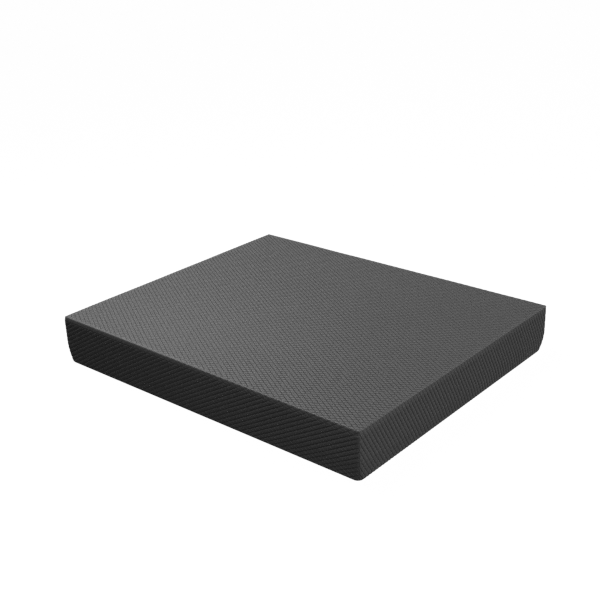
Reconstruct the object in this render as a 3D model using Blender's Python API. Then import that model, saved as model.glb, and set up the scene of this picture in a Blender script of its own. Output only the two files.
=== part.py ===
"""Foam balance pad for standing exercises.

An embossed cover sheet is folded over a block of five bonded foam plies and turned in under the
bottom edge, and a base sheet closes the opening that the turned-in margin leaves. The sides draw
in a little towards the underside. The pad rests on z = 0, with its long side along X and its
origin at the middle of the underside.
"""

import math

import bmesh
import bpy

# Driving dimensions, in metres.
LENGTH = 0.400
WIDTH = 0.330
HEIGHT = 0.052

COVER_THICKNESS = 0.002
BASE_THICKNESS = 0.002
PLY_COUNT = 5
GAP = 0.0003

TOP_EDGE_RADIUS = 0.0020
BOTTOM_EDGE_RADIUS = 0.0035
TURN_IN = 0.022

CORNER_RADIUS = 0.0035
BOTTOM_CORNER_RADIUS = 0.012
TAPER_HEIGHT = 0.024
DRAW_IN = 0.0010
BASE_CORNER_RADIUS = 0.003
LEAST_CORNER_RADIUS = 0.001

CORNER_STEPS = 6
EDGE_STEPS = 5
TAPER_STEPS = 4

# Heights that follow from the sizes above.
CORE_BOTTOM = BASE_THICKNESS + GAP
CORE_TOP = HEIGHT - COVER_THICKNESS - GAP
PLY_THICKNESS = (CORE_TOP - CORE_BOTTOM - (PLY_COUNT - 1) * GAP) / PLY_COUNT

# Colour and roughness of each material.
COVER_LOOK = (0.045, 0.045, 0.047, 0.62)
CORE_LOOK = (0.030, 0.030, 0.031, 0.85)
BASE_LOOK = (0.038, 0.038, 0.040, 0.70)


def clear_scene():
    for obj in list(bpy.data.objects):
        bpy.data.objects.remove(obj, do_unlink=True)


def foam_material(name, look):
    """A matte Principled material in one dark grey."""
    red, green, blue, roughness = look
    material = bpy.data.materials.new(name)
    material.use_nodes = True
    shader = material.node_tree.nodes["Principled BSDF"]
    shader.inputs["Base Color"].default_value = (red, green, blue, 1.0)
    shader.inputs["Roughness"].default_value = roughness
    shader.inputs["Metallic"].default_value = 0.0
    return material


def wall_inset(offset, z):
    """How far inside the pad's widest outline a surface lies that is offset under the outer one."""
    inset = offset
    if z < BOTTOM_EDGE_RADIUS:
        radius = BOTTOM_EDGE_RADIUS - offset
        drop = BOTTOM_EDGE_RADIUS - z
        inset = BOTTOM_EDGE_RADIUS - math.sqrt(max(radius**2 - drop**2, 0.0))
    return inset + DRAW_IN * max(0.0, 1.0 - z / TAPER_HEIGHT) ** 2


def corner_radius(inset, z):
    """Plan radius of the vertical corners, which are rounder near the underside."""
    taper = max(0.0, 1.0 - z / TAPER_HEIGHT)
    radius = CORNER_RADIUS + (BOTTOM_CORNER_RADIUS - CORNER_RADIUS) * taper**2
    return max(radius - inset, LEAST_CORNER_RADIUS)


def outline(inset, z, radius):
    """One level of the pad: a rounded rectangle, counter-clockwise, as 3-D points."""
    half_length = LENGTH / 2 - inset - radius
    half_width = WIDTH / 2 - inset - radius
    points = []
    for quarter in range(4):
        side_x = 1 if quarter in (0, 3) else -1
        side_y = 1 if quarter in (0, 1) else -1
        for step in range(CORNER_STEPS + 1):
            angle = math.pi / 2 * (quarter + step / CORNER_STEPS)
            x = side_x * half_length + radius * math.cos(angle)
            y = side_y * half_width + radius * math.sin(angle)
            points.append((x, y, z))
    return points


def wall_level(offset, z):
    """The outline at height z of a surface that lies offset under the pad's outer one."""
    inset = wall_inset(offset, z)
    return outline(inset, z, corner_radius(inset, z))


def bottom_edge_heights(offset):
    """Heights that divide the rounded bottom edge into equal angles, lowest first."""
    radius = BOTTOM_EDGE_RADIUS - offset
    angles = [math.pi / 2 * step / EDGE_STEPS for step in range(EDGE_STEPS + 1)]
    return [BOTTOM_EDGE_RADIUS - radius * math.cos(angle) for angle in angles]


def taper_heights():
    """Heights between the rounded bottom edge and the top of the tapered part of the sides."""
    span = TAPER_HEIGHT - BOTTOM_EDGE_RADIUS
    return [BOTTOM_EDGE_RADIUS + span * step / TAPER_STEPS for step in range(1, TAPER_STEPS + 1)]


def solid_from_levels(name, levels, material):
    """A closed solid: neighbouring levels are joined by quads, and the two end levels are capped."""
    mesh = bpy.data.meshes.new(name)
    bm = bmesh.new()
    loops = [[bm.verts.new(point) for point in level] for level in levels]
    for lower, upper in zip(loops, loops[1:]):
        for index in range(len(lower)):
            after = (index + 1) % len(lower)
            bm.faces.new((lower[index], lower[after], upper[after], upper[index]))
    bm.faces.new(loops[0])
    bm.faces.new(loops[-1])
    bmesh.ops.recalc_face_normals(bm, faces=bm.faces)
    bm.to_mesh(mesh)
    bm.free()
    mesh.materials.append(material)
    mesh.shade_smooth()
    mesh.set_sharp_from_angle(angle=math.radians(35))
    obj = bpy.data.objects.new(name, mesh)
    bpy.context.scene.collection.objects.link(obj)
    return obj


def add_cover():
    """The embossed sheet: top panel, four folded-down sides and the margin under the bottom edge."""
    heights = bottom_edge_heights(0.0) + taper_heights()
    outside = [wall_level(0.0, z) for z in heights]
    for step in range(EDGE_STEPS + 1):
        angle = math.pi / 2 * step / EDGE_STEPS
        inset = TOP_EDGE_RADIUS * (1.0 - math.cos(angle))
        z = HEIGHT - TOP_EDGE_RADIUS * (1.0 - math.sin(angle))
        radius = max(CORNER_RADIUS - inset, LEAST_CORNER_RADIUS)
        outside.append(outline(inset, z, radius))
    inner_heights = bottom_edge_heights(COVER_THICKNESS) + taper_heights()
    inside = [wall_level(COVER_THICKNESS, z) for z in inner_heights]
    inside.append(wall_level(COVER_THICKNESS, HEIGHT - COVER_THICKNESS))
    margin = [
        outline(TURN_IN, COVER_THICKNESS, BASE_CORNER_RADIUS),
        outline(TURN_IN, 0.0, BASE_CORNER_RADIUS),
    ]
    levels = inside[::-1] + margin + outside
    return solid_from_levels("embossed_cover", levels, foam_material("cover_skin", COVER_LOOK))


def add_base_sheet():
    """The flat sheet that fills the opening between the turned-in margins."""
    inset = TURN_IN + GAP
    levels = [outline(inset, z, BASE_CORNER_RADIUS) for z in (0.0, BASE_THICKNESS)]
    return solid_from_levels("base_sheet", levels, foam_material("base_skin", BASE_LOOK))


def add_core_plies():
    """Equal foam plies that fill the cover, each a gap clear of the next and of the cover."""
    material = foam_material("core_foam", CORE_LOOK)
    offset = COVER_THICKNESS + GAP
    shaped_heights = bottom_edge_heights(offset) + taper_heights()
    for number in range(PLY_COUNT):
        low = CORE_BOTTOM + number * (PLY_THICKNESS + GAP)
        high = low + PLY_THICKNESS
        between = [z for z in shaped_heights if low + GAP < z < high - GAP]
        levels = [wall_level(offset, z) for z in [low] + between + [high]]
        solid_from_levels(f"core_ply_{number + 1}", levels, material)


def main():
    clear_scene()
    add_cover()
    add_base_sheet()
    add_core_plies()


main()
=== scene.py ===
"""Looks of the foam balance pad: embossed cover, base sheet, foam plies, floor, light and camera."""

import math

import bmesh
import bpy
from mathutils import Matrix, Vector, noise


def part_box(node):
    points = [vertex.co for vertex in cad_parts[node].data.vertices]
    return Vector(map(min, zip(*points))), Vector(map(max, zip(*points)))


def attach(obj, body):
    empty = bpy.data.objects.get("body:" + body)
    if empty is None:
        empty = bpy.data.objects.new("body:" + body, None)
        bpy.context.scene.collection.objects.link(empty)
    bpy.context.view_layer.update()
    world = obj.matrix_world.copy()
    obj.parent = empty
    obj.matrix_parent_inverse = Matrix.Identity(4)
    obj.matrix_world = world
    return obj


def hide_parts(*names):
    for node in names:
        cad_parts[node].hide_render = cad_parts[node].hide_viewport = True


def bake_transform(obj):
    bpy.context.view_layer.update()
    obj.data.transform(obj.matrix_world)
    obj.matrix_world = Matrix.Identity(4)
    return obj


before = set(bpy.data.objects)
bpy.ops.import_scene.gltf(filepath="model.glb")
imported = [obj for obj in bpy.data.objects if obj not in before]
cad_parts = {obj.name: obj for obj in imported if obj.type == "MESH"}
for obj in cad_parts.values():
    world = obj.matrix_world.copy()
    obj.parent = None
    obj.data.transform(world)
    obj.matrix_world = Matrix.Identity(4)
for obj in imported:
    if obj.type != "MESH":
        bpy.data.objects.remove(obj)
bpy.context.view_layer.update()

# The pad's sizes, read from the frame, in metres.
COVER_LOW, COVER_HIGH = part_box("embossed_cover")
BASE_LOW, BASE_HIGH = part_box("base_sheet")
PLY_LOW, PLY_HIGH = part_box("core_ply_3")
LENGTH = COVER_HIGH.x - COVER_LOW.x
WIDTH = COVER_HIGH.y - COVER_LOW.y
HEIGHT = COVER_HIGH.z
SKIN = BASE_HIGH.z - BASE_LOW.z
PLY_OFFSET = COVER_HIGH.x - PLY_HIGH.x
GAP = PLY_OFFSET - SKIN
TURN_IN = COVER_HIGH.x - BASE_HIGH.x - GAP
PLY_NAMES = sorted(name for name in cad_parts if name.startswith("core_ply_"))

# Rounding of the slab, in metres: as on the CAD solids, with a crisper top edge.
TOP_EDGE_RADIUS = 0.0013
BOTTOM_EDGE_RADIUS = 0.0035
CORNER_RADIUS = 0.0035
BOTTOM_CORNER_RADIUS = 0.012
TAPER_HEIGHT = 0.024
BASE_CORNER_RADIUS = 0.003
LEAST_CORNER_RADIUS = 0.001
DRAW_IN = 0.0010

# The foam sits a little softer at some corners. One value for each corner, from -X -Y round by +X -Y.
FOOT_RADII = (0.0008, 0.0024, 0.0026, 0.0024)
FOOT_DRAW_INS = (0.0001, 0.0018, 0.0021, 0.0012)
FOOT_CORNER_RADII = (0.012, 0.009, 0.013, 0.012)

# Slight unevenness of the soft foam, which dies out near the underside.
DENT_DEPTH = 0.00020
DENT_SIZE = 0.055
DENT_FREE_HEIGHT = 0.012

# The emboss: lozenges between two crossing families of grooves. A crown's shares say how much of the
# lozenge's width it takes across each family.
DIAMOND_LONG = 0.00808
DIAMOND_SHORT = 0.00466
GROOVE_DEPTH = 0.00060
CROWN_DOME = 0.00008
TOP_CROWN_SHARES = (0.80, 0.82)
FLAP_CROWN_SHARES = (0.80, 0.63)

# The emboss is flatter towards the corner at -X -Y, and that fades out along X and along Y.
FLAT_PRESS = 0.42
FLAT_FADE_U = (-0.06, 0.13)
FLAT_FADE_V = (-0.15, 0.08)

# The cover is drawn over the top edge down to a soft crease, and tilts inwards on the band between
# them, by an angle for each corner. There the emboss is pressed flatter, and on the long sides the
# press falls from -X to +X.
BAND_HEIGHT = 0.0047
BAND_TILTS = tuple(math.radians(angle) for angle in (14.0, 8.0, 1.5, 6.0))
SHORT_BAND_PRESS = 0.40
LONG_BAND_PRESSES = (0.95, 0.45)
BAND_PRESS_RAMP = 0.0010
CREASE_DEPTH = 0.00030
CREASE_REACH = 0.0007

# The corner seams, the smooth margin of the base sheet, and the broken arrises of the cut sheets.
SEAM_MARGIN = 0.0005
SEAM_DEPTH = 0.0002
# The seam's share gives it half of the grooves' painted shade.
SEAM_CROWN_SHARE = 0.5
BASE_MARGIN = 0.0030
BASE_ARRIS = 0.0004
PLY_ARRIS = 0.0003

# Edges that bend by more than this are shaded sharp.
SHARP_ANGLE = math.radians(32)

# Mesh fineness of the smooth parts, and where the emboss is cut to follow a bend.
FLAT_STEPS = 72
HALF_CORNER_STEPS = 6
HALF_CORNER_RUN = 0.008
EDGE_STEPS = 6
SEAM_STEPS = 22
TAPER_STEPS = 4
FOOT_FRACTIONS = (0.25, 0.6, 1.0)
FOLD_CUTS = 3
FOOT_CUTS = 3
FOOT_CUT_SPACING = 0.0009

# A corner's radius where it starts on the flat top, and the tolerances of cutting and joining.
LEAST_FOLD_RADIUS = 1e-6
WELD_DISTANCE = 1e-5
BORDER_TOLERANCE = 2e-5

# Greys of the skin foam: the darker groove grey is painted shade, the crown grey is the foam's own;
# and the crown share that has the crown grey.
COVER_GREYS = (0.012, 0.039)
BASE_GREYS = (0.014, 0.034)
FULL_CROWN_SHARE = 0.97

# The view. The focal length is given in widths of the frame.
CAMERA_AZIMUTH = math.radians(41.24)
CAMERA_ELEVATION = math.radians(22.98)
CAMERA_ROLL = math.radians(-1.99)
CAMERA_DISTANCE = 1.1533
CAMERA_FOCAL_IN_FRAMES = 1.6525
CAMERA_TARGET = Vector((-0.0633, 0.0665, 0.0259))

# Each side: the direction along it, its outward direction, and its half sizes along and outward.
SIDES = (
    (Vector((1, 0)), Vector((0, -1)), LENGTH / 2, WIDTH / 2),
    (Vector((0, 1)), Vector((1, 0)), WIDTH / 2, LENGTH / 2),
    (Vector((-1, 0)), Vector((0, 1)), LENGTH / 2, WIDTH / 2),
    (Vector((0, -1)), Vector((-1, 0)), WIDTH / 2, LENGTH / 2),
)

# The cover lies flat up to the folds, then runs down a flap on each side: round the fold, down the
# tilted band to the crease, and down the wall until it is one radian round the foot.
FOLD_INSET = TOP_EDGE_RADIUS + (BAND_HEIGHT - TOP_EDGE_RADIUS) * math.tan(max(BAND_TILTS))
FOLD_RUN = TOP_EDGE_RADIUS * math.pi / 2
CREASE_RUN = FOLD_RUN + BAND_HEIGHT - TOP_EDGE_RADIUS
FLAP_RUN = CREASE_RUN + HEIGHT - BAND_HEIGHT
FLAP_END_ANGLE = 1.0
FOLD_U = LENGTH / 2 - FOLD_INSET
FOLD_V = WIDTH / 2 - FOLD_INSET


# ---------------------------------------------------------------- shape of the slab


def evenly(start, end, steps):
    """Values from start to end in equal steps, with both ends."""
    return [start + (end - start) * step / steps for step in range(steps + 1)]


def drawn_in(amount, z):
    """How far the wall curves in at height z, for its draw-in at the floor."""
    return amount * max(0.0, 1.0 - z / TAPER_HEIGHT) ** 2


def wall_inset(offset, z):
    """How far inside the widest outline a surface lies that is offset under the outer one."""
    inset = offset
    if z < BOTTOM_EDGE_RADIUS:
        radius = BOTTOM_EDGE_RADIUS - offset
        drop = BOTTOM_EDGE_RADIUS - z
        inset = BOTTOM_EDGE_RADIUS - math.sqrt(max(radius**2 - drop**2, 0.0))
    return inset + drawn_in(DRAW_IN, z)


def corner_radius(inset, z, foot_corner=BOTTOM_CORNER_RADIUS):
    """Plan radius of a vertical corner, which is rounder near the underside."""
    taper = max(0.0, 1.0 - z / TAPER_HEIGHT)
    radius = CORNER_RADIUS + (foot_corner - CORNER_RADIUS) * taper**2
    return max(radius - inset, LEAST_CORNER_RADIUS)


def side_point(side, share, inset, z, radii):
    """A point on one side's stretch of a level, and the plan direction that faces outwards there.

    share runs from -1 to 1, from the middle of one corner's arc to the middle of the next, and radii
    are those of the two arcs.
    """
    along, out, half_along, half_out = SIDES[side]
    radius = radii[0] if share < 0.0 else radii[1]
    half_flat = half_along - inset - radius
    reach = share * (half_flat + radius * math.pi / 4)
    turn = max(0.0, abs(reach) - half_flat) / radius
    sign = math.copysign(1.0, reach)
    forward = reach if turn == 0.0 else sign * (half_flat + radius * math.sin(turn))
    outward = half_out - inset - radius * (1.0 - math.cos(turn))
    plan = along * forward + out * outward
    facing = along * (sign * math.sin(turn)) + out * math.cos(turn)
    return Vector((plan.x, plan.y, z)), facing


def side_shares(side):
    """Shares of the regular points of one side's stretch of a level, without its last one."""
    half_along = SIDES[side][2]
    corner = HALF_CORNER_RUN / half_along
    shares = [-1.0 + corner * step / HALF_CORNER_STEPS for step in range(HALF_CORNER_STEPS)]
    shares += [(1.0 - corner) * (2.0 * step / FLAT_STEPS - 1.0) for step in range(FLAT_STEPS)]
    shares += [1.0 - corner * (1.0 - step / HALF_CORNER_STEPS) for step in range(HALF_CORNER_STEPS)]
    return shares


def plain_level(inset, z, radius):
    """A level whose four corners are alike: a function from side and share to the point."""
    return lambda side, share: side_point(side, share, inset, z, (radius, radius))[0]


def inner_level(offset, z):
    """A level of the regular surface that is offset under the outer one."""
    inset = wall_inset(offset, z)
    return plain_level(inset, z, corner_radius(inset, z))


def between_corners(values, side, share):
    """A value that changes evenly along a side, between those of its two corners."""
    return values[side] + (values[(side + 1) % 4] - values[side]) * (share + 1.0) / 2.0


def band_inset(tilt, z):
    """Inset of the band at height z, or of the wall if z is that of the crease."""
    end = math.pi / 2 - tilt
    start = FOLD_INSET - TOP_EDGE_RADIUS * math.sin(end)
    return start - (HEIGHT - TOP_EDGE_RADIUS * (1.0 - math.cos(end)) - z) * math.tan(tilt)


def outer_profile(drop, foot, draw_in, tilt):
    """The cover's outline at a distance down from the start of a fold.

    Gives the inset, the height, the outward normal as its parts in plan and upwards, and how much of
    the corner's rounding has set in, from 0 on the flat top to 1 below the fold.
    """
    end = math.pi / 2 - tilt
    if drop <= FOLD_RUN:
        angle = end * drop / FOLD_RUN
        inset = FOLD_INSET - TOP_EDGE_RADIUS * math.sin(angle)
        z = HEIGHT - TOP_EDGE_RADIUS * (1.0 - math.cos(angle))
        return inset, z, (math.sin(angle), math.cos(angle)), math.sin(angle) / math.sin(end)
    if drop <= CREASE_RUN:
        way = (drop - FOLD_RUN) / (CREASE_RUN - FOLD_RUN)
        start = HEIGHT - TOP_EDGE_RADIUS * (1.0 - math.cos(end))
        z = start + (HEIGHT - BAND_HEIGHT - start) * way
        return band_inset(tilt, z), z, (math.cos(tilt), math.sin(tilt)), 1.0
    wall = band_inset(tilt, HEIGHT - BAND_HEIGHT)
    z = HEIGHT - BAND_HEIGHT - (drop - CREASE_RUN)
    if z >= foot:
        return wall + drawn_in(draw_in, z), z, (1.0, 0.0), 1.0
    angle = (foot - z) / foot
    inset, z = foot_place(angle, foot, draw_in)
    return wall + inset, z, (math.cos(angle), -math.sin(angle)), 1.0


def foot_place(angle, foot, draw_in):
    """Inset and height at an angle round the foot: 0 at its top, a right angle on the floor."""
    z = foot * (1.0 - math.sin(angle))
    return foot * (1.0 - math.cos(angle)) + drawn_in(draw_in, z), z


def dent(point):
    """How far the foam is dented at a point: a negative depth where it stands proud."""
    share = min(1.0, point.z / DENT_FREE_HEIGHT)
    return DENT_DEPTH * share * noise.noise(point / DENT_SIZE)


def outer_point(side, share, drop, depth):
    """A point depth under the cover's outer face, drop down from the start of the fold of one side."""
    foot = between_corners(FOOT_RADII, side, share)
    draw_in = between_corners(FOOT_DRAW_INS, side, share)
    tilt = between_corners(BAND_TILTS, side, share)
    inset, z, (spread, rise), folded = outer_profile(drop, foot, draw_in, tilt)
    depth += CREASE_DEPTH * max(0.0, 1.0 - abs(drop - CREASE_RUN) / CREASE_REACH)
    corners = (FOOT_CORNER_RADII[side], FOOT_CORNER_RADII[(side + 1) % 4])
    radii = [corner_radius(inset, z, corner) * folded + LEAST_FOLD_RADIUS for corner in corners]
    point, facing = side_point(side, share, inset, z, radii)
    normal = Vector((facing.x * spread, facing.y * spread, rise))
    return point - normal * (depth + dent(point))


def foot_level(fraction):
    """A level of the foot's rounding below the emboss: fraction 0 is at its end, 1 is on the floor."""

    def place(side, share):
        foot = between_corners(FOOT_RADII, side, share)
        draw_in = between_corners(FOOT_DRAW_INS, side, share)
        angle = FLAP_END_ANGLE + (math.pi / 2 - FLAP_END_ANGLE) * fraction
        inset, z = foot_place(angle, foot, draw_in)
        inset += band_inset(between_corners(BAND_TILTS, side, share), HEIGHT - BAND_HEIGHT)
        radii = [corner_radius(inset, z, FOOT_CORNER_RADII[(side + end) % 4]) for end in (0, 1)]
        point, _ = side_point(side, share, inset, z, radii)
        return point

    return place


# ---------------------------------------------------------------- mesh building


class Surface:
    """Points, faces and emboss shares of one mesh while it is put together."""

    def __init__(self):
        self.points = []
        self.shares = []
        self.faces = []

    def add(self, points, share=1.0):
        first = len(self.points)
        self.points += [Vector(point) for point in points]
        self.shares += [share] * len(points)
        return list(range(first, len(self.points)))

    def add_level(self, place):
        """Adds a closed level, as four runs of indices. Each run ends on the next one's first point."""
        runs = [self.add([place(side, share) for share in side_shares(side)]) for side in range(4)]
        return [run + [runs[(side + 1) % 4][0]] for side, run in enumerate(runs)]

    def join_levels(self, upper, lower):
        """Quads between two closed levels."""
        for high, low in zip(upper, lower):
            for index in range(len(high) - 1):
                self.faces.append((high[index], high[index + 1], low[index + 1], low[index]))

    def cap(self, level):
        """One flat face across a closed level."""
        self.faces.append([index for run in level for index in run[:-1]])

    def zip_runs(self, first, second):
        """Triangles between two open runs that need not have the same number of points."""
        measures = [self.run_shares(run) for run in (first, second)]
        one, two = 0, 0
        while one < len(first) - 1 or two < len(second) - 1:
            next_one = measures[0][one + 1] if one < len(first) - 1 else math.inf
            next_two = measures[1][two + 1] if two < len(second) - 1 else math.inf
            if next_one <= next_two:
                face = (first[one], first[one + 1], second[two])
                one += 1
            else:
                face = (first[one], second[two + 1], second[two])
                two += 1
            if len(set(face)) == 3:
                self.faces.append(face)

    def run_shares(self, run):
        """Distance of each point along a run, as a share of the run's length."""
        distances = [0.0]
        for before, after in zip(run, run[1:]):
            distances.append(distances[-1] + (self.points[after] - self.points[before]).length)
        return [distance / distances[-1] for distance in distances]

    def to_object(self, name):
        """The finished mesh as an object, with the shares as its colour attribute for the emboss, which
        paints shade into the grooves.
        """
        mesh = bpy.data.meshes.new(name)
        mesh.from_pydata([tuple(point) for point in self.points], [], self.faces)
        attribute = mesh.attributes.new("emboss", "FLOAT", "POINT")
        attribute.data.foreach_set("value", self.shares)
        bm = bmesh.new()
        bm.from_mesh(mesh)
        bmesh.ops.recalc_face_normals(bm, faces=bm.faces)
        bm.to_mesh(mesh)
        bm.free()
        mesh.shade_smooth()
        mesh.set_sharp_from_angle(angle=SHARP_ANGLE)
        obj = bpy.data.objects.new(name, mesh)
        bpy.context.scene.collection.objects.link(obj)
        return obj


def rim_offsets(shares):
    """The corners of a crown's rim: the lozenge with each pair of edges drawn in by its own share."""
    mean, skew = (shares[0] + shares[1]) / 2, (shares[0] - shares[1]) / 2
    return (mean, skew), (skew, mean), (-mean, -skew), (-skew, -mean)


def diamond_lattice(half_u, half_v, flaps_from=(math.inf, math.inf)):
    """The emboss over a flat rectangle and a little beyond. Its points are (u, v, crown share)."""
    step_u, step_v = DIAMOND_LONG / 2, DIAMOND_SHORT / 2
    count_u, count_v = math.ceil(half_u / step_u) + 2, math.ceil(half_v / step_v) + 2
    rim_height = 1.0 - CROWN_DOME / GROOVE_DEPTH
    bm = bmesh.new()
    crossings = {}

    def crossing(column, row):
        if (column, row) not in crossings:
            crossings[column, row] = bm.verts.new((column * step_u, row * step_v, 0.0))
        return crossings[column, row]

    for column in range(-count_u, count_u + 1):
        for row in range(-count_v, count_v + 1):
            if (column + row) % 2 == 0:
                continue
            around = [crossing(column + du, row + dv) for du, dv in ((1, 0), (0, 1), (-1, 0), (0, -1))]
            u, v = column * step_u, row * step_v
            middle = bm.verts.new((u, v, 1.0))
            on_top = abs(u) < flaps_from[0] and abs(v) < flaps_from[1]
            offsets = rim_offsets(TOP_CROWN_SHARES if on_top else FLAP_CROWN_SHARES)
            rim = [bm.verts.new((u + du * step_u, v + dv * step_v, rim_height)) for du, dv in offsets]
            for index in range(4):
                after = (index + 1) % 4
                bm.faces.new((around[index], around[after], rim[after], rim[index]))
                bm.faces.new((rim[index], rim[after], middle))
    return bm


def cut_lattice(bm, axis, place, clear=False):
    """Cuts the lattice along a line across one axis. With clear, what lies beyond it goes."""
    normal = Vector((0, 0, 0))
    normal[axis] = math.copysign(1.0, place)
    point = Vector((0, 0, 0))
    point[axis] = place
    faces = bm.faces[:]
    if not clear:
        faces = [face for face in faces if abs(face.verts[0].co[axis] - place) < 2 * DIAMOND_LONG]
    edges = {edge for face in faces for edge in face.edges}
    verts = {vert for face in faces for vert in face.verts}
    geometry = list(verts) + list(edges) + faces
    bmesh.ops.bisect_plane(
        bm, geom=geometry, dist=WELD_DISTANCE, plane_co=point, plane_no=normal, clear_outer=clear
    )


def add_lattice(surface, bm, place, press=lambda u, v: 0.0):
    """Adds a lattice to a surface, and gives the indices of its points.

    place(u, v, depth) gives a point that lies depth under the outer face, and press(u, v) says how
    far the emboss is flattened, up to 1.
    """
    bm.verts.index_update()
    indices = []
    for vert in bm.verts:
        u, v, crown = vert.co
        groove = (1.0 - crown) * (1.0 - press(u, v))
        # The share, one less the groove, later paints shade into the grooves: deeper means darker.
        indices += surface.add([place(u, v, groove * GROOVE_DEPTH)], 1.0 - groove)
    surface.faces += [[indices[vert.index] for vert in face.verts] for face in bm.faces]
    return indices


def border_run(bm, indices, key, on_border):
    """Indices of the lattice's points on one border, in the order of key(u, v)."""
    found = [vert for vert in bm.verts if vert.is_boundary and on_border(vert.co.x, vert.co.y)]
    found.sort(key=lambda vert: key(vert.co.x, vert.co.y))
    return [indices[vert.index] for vert in found]


# ---------------------------------------------------------------- the pieces


def on_flap(side, u, v):
    """Distance along a side and down from its fold, of a place on the unfolded sheet."""
    along, out, _, _ = SIDES[side]
    place = Vector((u, v))
    return along.dot(place), out.dot(place) - (FOLD_U if side % 2 else FOLD_V)


def faded(value, ends):
    """1 up to the first end, then a smooth fall to 0 at the second."""
    share = min(1.0, max(0.0, (ends[1] - value) / (ends[1] - ends[0])))
    return share * share * (3.0 - 2.0 * share)


def emboss_press(u, v):
    """How far the emboss is pressed flat at a place on the unfolded sheet."""
    press = FLAT_PRESS * faded(u, FLAT_FADE_U) * faded(v, FLAT_FADE_V)
    most, least = LONG_BAND_PRESSES
    long_press = most + (least - most) * min(1.0, max(0.0, u / LENGTH + 0.5))
    for drop, band_press in ((abs(u) - FOLD_U, SHORT_BAND_PRESS), (abs(v) - FOLD_V, long_press)):
        outside = max(0.0, -drop, drop - CREASE_RUN)
        press = max(press, band_press * (1.0 - outside / BAND_PRESS_RAMP))
    return press


def sheet_point(u, v, depth):
    """Folds a place on the unfolded sheet round the slab."""
    if abs(u) <= FOLD_U and abs(v) <= FOLD_V:
        flat = Vector((u, v, HEIGHT))
        return flat - Vector((0, 0, depth + dent(flat)))
    side = (1 if u > 0 else 3) if abs(u) > FOLD_U else (2 if v > 0 else 0)
    reach, drop = on_flap(side, u, v)
    half_run = FOLD_V if side % 2 else FOLD_U
    squeeze = 1.0 - SEAM_MARGIN / half_run * min(1.0, drop / FOLD_RUN)
    return outer_point(side, reach / half_run * squeeze, drop, depth)


def unfolded_sheet():
    """The embossed sheet before folding: the top with a flap on each side, cut along every bend."""
    bm = diamond_lattice(FOLD_U + FLAP_RUN, FOLD_V + FLAP_RUN, (FOLD_U, FOLD_V))
    bends = [FOLD_RUN * step / FOLD_CUTS for step in range(FOLD_CUTS + 1)]
    bends += [CREASE_RUN + CREASE_REACH * step for step in (-1, 0, 1)]
    bends += [FLAP_RUN - FOOT_CUT_SPACING * step for step in range(1, FOOT_CUTS + 1)]
    for axis, fold in ((0, FOLD_U), (1, FOLD_V)):
        for sign in (-1, 1):
            cut_lattice(bm, axis, sign * (fold + FLAP_RUN), clear=True)
            for bend in bends:
                cut_lattice(bm, axis, sign * (fold + bend))
    corners = []
    for face in bm.faces:
        centre = face.calc_center_median()
        if abs(centre.x) > FOLD_U and abs(centre.y) > FOLD_V:
            corners.append(face)
    bmesh.ops.delete(bm, geom=corners, context="FACES")
    return bm


def flap_borders(bm, indices, side):
    """A flap's border runs: down its start, along its lower end, and down its far end."""
    half_run = FOLD_V if side % 2 else FOLD_U

    def reach(u, v):
        return on_flap(side, u, v)[0]

    def drop(u, v):
        return on_flap(side, u, v)[1]

    def at_start(u, v):
        return drop(u, v) >= -BORDER_TOLERANCE and abs(reach(u, v) + half_run) < BORDER_TOLERANCE

    def at_end(u, v):
        return drop(u, v) >= -BORDER_TOLERANCE and abs(reach(u, v) - half_run) < BORDER_TOLERANCE

    def at_foot(u, v):
        return drop(u, v) >= FLAP_RUN - BORDER_TOLERANCE

    start = border_run(bm, indices, drop, at_start)
    foot = border_run(bm, indices, reach, at_foot)
    end = border_run(bm, indices, drop, at_end)
    return start, foot, end


def seam_run(surface, side, top_corner, foot_corner):
    """The glued corner seam at the start of a side, from the top corner down to the foot."""
    drops = [FLAP_RUN * step / SEAM_STEPS for step in range(1, SEAM_STEPS)]
    points = [outer_point(side, -1.0, drop, SEAM_DEPTH) for drop in drops]
    return [top_corner] + surface.add(points, SEAM_CROWN_SHARE) + [foot_corner]


def make_cover():
    """The embossed sheet with its folds, seams and turned-in margin, as one closed shell."""
    surface = Surface()
    sheet = unfolded_sheet()
    indices = add_lattice(surface, sheet, sheet_point, emboss_press)
    borders = [flap_borders(sheet, indices, side) for side in range(4)]
    sheet.free()

    levels = [surface.add_level(foot_level(fraction)) for fraction in FOOT_FRACTIONS]
    for side in range(4):
        start, foot, end = borders[side]
        previous_end = borders[side - 1][2]
        seam = seam_run(surface, side, start[0], levels[0][side][0])
        surface.zip_runs(seam, start)
        surface.zip_runs(previous_end, seam)
        surface.zip_runs(levels[0][side], foot)

    levels.append(surface.add_level(plain_level(TURN_IN, 0.0, BASE_CORNER_RADIUS)))
    levels.append(surface.add_level(plain_level(TURN_IN, SKIN, BASE_CORNER_RADIUS)))
    inner_radius = BOTTOM_EDGE_RADIUS - SKIN
    angles = evenly(math.pi / 2, 0.0, EDGE_STEPS)
    heights = [BOTTOM_EDGE_RADIUS - inner_radius * math.sin(angle) for angle in angles]
    heights += evenly(BOTTOM_EDGE_RADIUS, TAPER_HEIGHT, TAPER_STEPS)[1:]
    heights.append(HEIGHT - SKIN)
    levels += [surface.add_level(inner_level(SKIN, z)) for z in heights]
    for upper, lower in zip(levels, levels[1:]):
        surface.join_levels(upper, lower)
    surface.cap(levels[-1])
    return surface.to_object("embossed_cover_skin")


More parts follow.
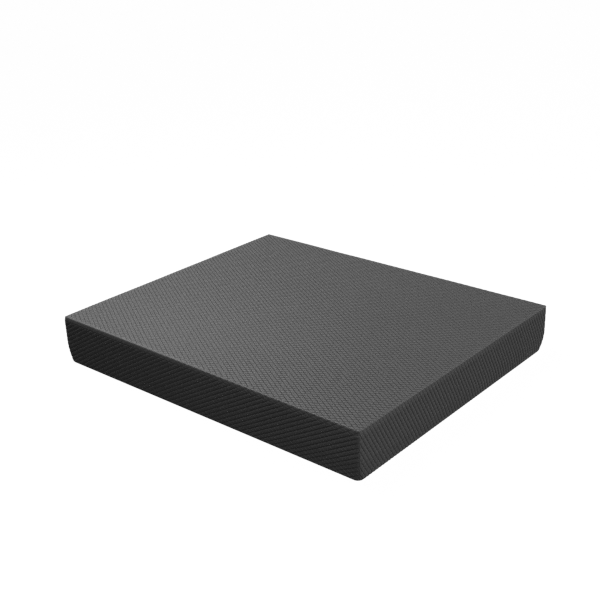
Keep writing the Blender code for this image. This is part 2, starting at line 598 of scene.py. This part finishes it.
def make_base_sheet():
    """The grip sheet under the pad, embossed on its lower face."""
    surface = Surface()
    inset = TURN_IN + GAP
    rim = [
        (inset + BASE_ARRIS, 0.0, BASE_CORNER_RADIUS - BASE_ARRIS),
        (inset, BASE_ARRIS, BASE_CORNER_RADIUS),
        (inset, SKIN - BASE_ARRIS, BASE_CORNER_RADIUS),
        (inset + BASE_ARRIS, SKIN, BASE_CORNER_RADIUS - BASE_ARRIS),
    ]
    levels = [surface.add_level(plain_level(*level)) for level in rim]
    for upper, lower in zip(levels, levels[1:]):
        surface.join_levels(upper, lower)
    surface.cap(levels[-1])
    half_u = LENGTH / 2 - inset - BASE_MARGIN
    half_v = WIDTH / 2 - inset - BASE_MARGIN
    bm = diamond_lattice(half_u, half_v)
    for axis, limit in ((0, half_u), (1, half_v)):
        for sign in (-1, 1):
            cut_lattice(bm, axis, sign * limit, clear=True)
    indices = add_lattice(surface, bm, lambda u, v, depth: Vector((u, v, depth)))
    for side, (along, out, _, _) in enumerate(SIDES):
        limit = half_u if side % 2 else half_v
        run = border_run(
            bm,
            indices,
            lambda u, v: along.dot(Vector((u, v))),
            lambda u, v: out.dot(Vector((u, v))) > limit - BORDER_TOLERANCE,
        )
        surface.zip_runs(levels[0][side], run)
    bm.free()
    return surface.to_object("base_sheet_skin")


def make_ply(name):
    """One foam ply, cut square, with its arrises just broken."""
    low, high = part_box(name)
    surface = Surface()
    inner_radius = BOTTOM_EDGE_RADIUS - PLY_OFFSET
    angles = evenly(0.0, math.pi / 2, EDGE_STEPS)
    curve = [BOTTOM_EDGE_RADIUS - inner_radius * math.cos(angle) for angle in angles]
    curve += evenly(BOTTOM_EDGE_RADIUS, TAPER_HEIGHT, TAPER_STEPS)[1:]
    heights = [low.z + PLY_ARRIS, high.z - PLY_ARRIS]
    heights += [z for z in curve if low.z + 2 * PLY_ARRIS < z < high.z - 2 * PLY_ARRIS]
    levels = [surface.add_level(inner_level(PLY_OFFSET, z)) for z in sorted(heights)]
    ends = []
    for z, near in ((low.z, low.z + PLY_ARRIS), (high.z, high.z - PLY_ARRIS)):
        inset = wall_inset(PLY_OFFSET, near)
        radius = max(corner_radius(inset, near) - PLY_ARRIS, LEAST_CORNER_RADIUS)
        ends.append(surface.add_level(plain_level(inset + PLY_ARRIS, z, radius)))
    levels = [ends[0]] + levels + [ends[1]]
    for upper, lower in zip(levels, levels[1:]):
        surface.join_levels(upper, lower)
    surface.cap(levels[0])
    surface.cap(levels[-1])
    return surface.to_object(f"{name}_foam")


# ---------------------------------------------------------------- materials


def new_material(name):
    """A node material, and its nodes, links and Principled shader."""
    material = bpy.data.materials.new(name)
    material.use_nodes = True
    tree = material.node_tree
    return material, tree.nodes, tree.links, tree.nodes["Principled BSDF"]


def add_texture(nodes, links, kind, scale, detail=None):
    """A texture laid over the piece in its own coordinates, with its size set by scale."""
    place = nodes.new("ShaderNodeTexCoord")
    texture = nodes.new(kind)
    texture.inputs["Scale"].default_value = scale
    if detail is not None:
        texture.inputs["Detail"].default_value = detail
    links.new(place.outputs["Object"], texture.inputs["Vector"])
    return texture


def add_range(nodes, links, value, low, high):
    """Maps a value from 0 to 1 onto low to high, and gives the socket."""
    mapped = nodes.new("ShaderNodeMapRange")
    mapped.inputs["To Min"].default_value = low
    mapped.inputs["To Max"].default_value = high
    links.new(value, mapped.inputs["Value"])
    return mapped.outputs["Result"]


def add_bump(nodes, links, shader, height, strength, distance):
    """Bumps the shader's surface by a height from 0 to 1 times distance."""
    bump = nodes.new("ShaderNodeBump")
    bump.inputs["Strength"].default_value = strength
    bump.inputs["Distance"].default_value = distance
    links.new(height, bump.inputs["Height"])
    links.new(bump.outputs["Normal"], shader.inputs["Normal"])


def skin_material(name, groove_shade_grey, crown_grey):
    """Matte black foam skin: painted shade darkens the grooves, the crowns keep the foam's own grey,
    with a slight sheen and a fine grain.
    """
    material, nodes, links, shader = new_material(name)
    # Painted shade: the emboss share mixes the grooves down to the darker grey, while the crowns keep
    # the foam's own grey.
    emboss = nodes.new("ShaderNodeAttribute")
    emboss.attribute_name = "emboss"
    crown = nodes.new("ShaderNodeMapRange")
    crown.inputs["From Max"].default_value = FULL_CROWN_SHARE
    links.new(emboss.outputs["Fac"], crown.inputs["Value"])
    tone = nodes.new("ShaderNodeMix")
    tone.data_type = "RGBA"
    tone.inputs["A"].default_value = (groove_shade_grey, groove_shade_grey, groove_shade_grey, 1.0)
    tone.inputs["B"].default_value = (crown_grey, crown_grey, crown_grey, 1.0)
    links.new(crown.outputs["Result"], tone.inputs["Factor"])

    cloud = add_texture(nodes, links, "ShaderNodeTexNoise", scale=14.0, detail=4.0)
    shade = nodes.new("ShaderNodeVectorMath")
    shade.operation = "SCALE"
    links.new(tone.outputs["Result"], shade.inputs[0])
    links.new(add_range(nodes, links, cloud.outputs["Fac"], 0.92, 1.08), shade.inputs["Scale"])
    links.new(shade.outputs["Vector"], shader.inputs["Base Color"])

    grain = add_texture(nodes, links, "ShaderNodeTexNoise", scale=1800.0, detail=3.0)
    add_bump(nodes, links, shader, grain.outputs["Fac"], strength=0.15, distance=0.00008)
    links.new(add_range(nodes, links, grain.outputs["Fac"], 0.52, 0.68), shader.inputs["Roughness"])
    shader.inputs["Specular IOR Level"].default_value = 0.35
    shader.inputs["Sheen Weight"].default_value = 0.10
    shader.inputs["Sheen Roughness"].default_value = 0.45
    return material


def foam_material(name):
    """Cut closed-cell foam: a fine pattern of cells."""
    material, nodes, links, shader = new_material(name)
    cells = add_texture(nodes, links, "ShaderNodeTexVoronoi", scale=900.0)
    grey = add_range(nodes, links, cells.outputs["Distance"], 0.018, 0.042)
    links.new(grey, shader.inputs["Base Color"])
    add_bump(nodes, links, shader, cells.outputs["Distance"], strength=0.6, distance=0.0003)
    shader.inputs["Roughness"].default_value = 0.85
    return material


def glowing_white(name, grey, strength):
    """A material that shows as white by itself, whatever light falls on its grey, and its shader."""
    material, _, _, shader = new_material(name)
    shader.inputs["Base Color"].default_value = (grey, grey, grey, 1.0)
    shader.inputs["Emission Color"].default_value = (1.0, 1.0, 1.0, 1.0)
    shader.inputs["Emission Strength"].default_value = strength
    return material, shader


# ---------------------------------------------------------------- stage


def make_floor():
    """The pale matte floor. Only the camera sees its glow, so it lights nothing."""
    material, shader = glowing_white("pale_floor", grey=0.01, strength=0.99)
    shader.inputs["Roughness"].default_value = 1.0
    shader.inputs["Specular IOR Level"].default_value = 0.0
    bpy.ops.mesh.primitive_plane_add(size=12.0, location=(0.0, 0.0, 0.0))
    floor = bpy.context.object
    floor.name = "pale_floor"
    floor.data.materials.append(material)
    floor.visible_diffuse = False
    floor.visible_glossy = False


def make_backdrop():
    """A white dome far behind everything. Only the camera sees it, so it lights nothing."""
    material, _ = glowing_white("white_backdrop", grey=0.0, strength=1.0)
    bpy.ops.mesh.primitive_uv_sphere_add(segments=48, ring_count=24, radius=9.0)
    dome = bpy.context.object
    dome.name = "white_backdrop"
    dome.data.materials.append(material)
    dome.visible_diffuse = False
    dome.visible_glossy = False
    dome.visible_transmission = False
    dome.visible_shadow = False


def make_world():
    """A faint even light from all round."""
    world = bpy.data.worlds.new("studio")
    bpy.context.scene.world = world
    world.use_nodes = True
    background = world.node_tree.nodes["Background"]
    background.inputs["Color"].default_value = (1.0, 1.0, 1.0, 1.0)
    background.inputs["Strength"].default_value = 0.02


def area_light(name, place, size, power):
    """A square soft box at place that faces the middle of the pad's top."""
    light = bpy.data.lights.new(name, "AREA")
    light.shape = "RECTANGLE"
    light.size = size
    light.size_y = size
    light.energy = power
    obj = bpy.data.objects.new(name, light)
    bpy.context.scene.collection.objects.link(obj)
    obj.location = place
    direction = Vector((0.0, 0.0, HEIGHT)) - Vector(place)
    obj.rotation_euler = direction.to_track_quat("-Z", "Y").to_euler()


def make_lights():
    """Soft boxes: a strong one on the right, one in front, one overhead, and two weak ones behind."""
    area_light("right_box", (1.9, 1.0, 1.1), size=0.5, power=55.0)
    area_light("front_box", (0.55, -0.85, 0.30), size=0.3, power=4.2)
    area_light("overhead_box", (-0.4, -0.12, 1.0), size=0.4, power=14.9)
    area_light("left_box", (-0.7, 0.2, 0.8), size=0.4, power=2.5)
    area_light("near_left_box", (-0.45, 0.35, 0.45), size=0.3, power=0.5)


def make_camera():
    """A view from about 41 degrees round to the right of the front and 23 above the horizon."""
    back = Vector((
        math.sin(CAMERA_AZIMUTH) * math.cos(CAMERA_ELEVATION),
        -math.cos(CAMERA_AZIMUTH) * math.cos(CAMERA_ELEVATION),
        math.sin(CAMERA_ELEVATION),
    ))
    level_right = Vector((math.cos(CAMERA_AZIMUTH), math.sin(CAMERA_AZIMUTH), 0.0))
    level_up = back.cross(level_right)
    right = level_right * math.cos(CAMERA_ROLL) + level_up * math.sin(CAMERA_ROLL)
    up = level_up * math.cos(CAMERA_ROLL) - level_right * math.sin(CAMERA_ROLL)
    camera = bpy.data.cameras.new("camera")
    camera.sensor_width = 36.0
    camera.lens = camera.sensor_width * CAMERA_FOCAL_IN_FRAMES
    camera.clip_end = 100.0
    obj = bpy.data.objects.new("camera", camera)
    bpy.context.scene.collection.objects.link(obj)
    axes = Matrix((right, up, back)).transposed().to_4x4()
    obj.matrix_world = Matrix.Translation(CAMERA_TARGET + back * CAMERA_DISTANCE) @ axes
    bpy.context.scene.camera = obj


# ---------------------------------------------------------------- assembly


def bend_with_foam(piece):
    """Bakes the piece's placement into its mesh."""
    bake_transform(piece)


def build_pad():
    """Makes every piece, gives it its material, hides the CAD part it replaces, and hangs the base
    sheet on the base body.
    """
    cover = make_cover()
    cover.data.materials.append(skin_material("cover_skin_foam", *COVER_GREYS))
    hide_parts("embossed_cover")
    bend_with_foam(cover)

    base = make_base_sheet()
    base.data.materials.append(skin_material("base_skin_foam", *BASE_GREYS))
    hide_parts("base_sheet")
    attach(base, "base")

    foam = foam_material("cut_foam")
    for name in PLY_NAMES:
        ply = make_ply(name)
        ply.data.materials.append(foam)
        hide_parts(name)
        bend_with_foam(ply)


bpy.context.scene.view_settings.view_transform = "Standard"
bpy.context.scene.cycles.filter_width = 1.3
bpy.context.scene.cycles.use_denoising = False
make_camera()
make_floor()
make_backdrop()
make_world()
make_lights()
build_pad()
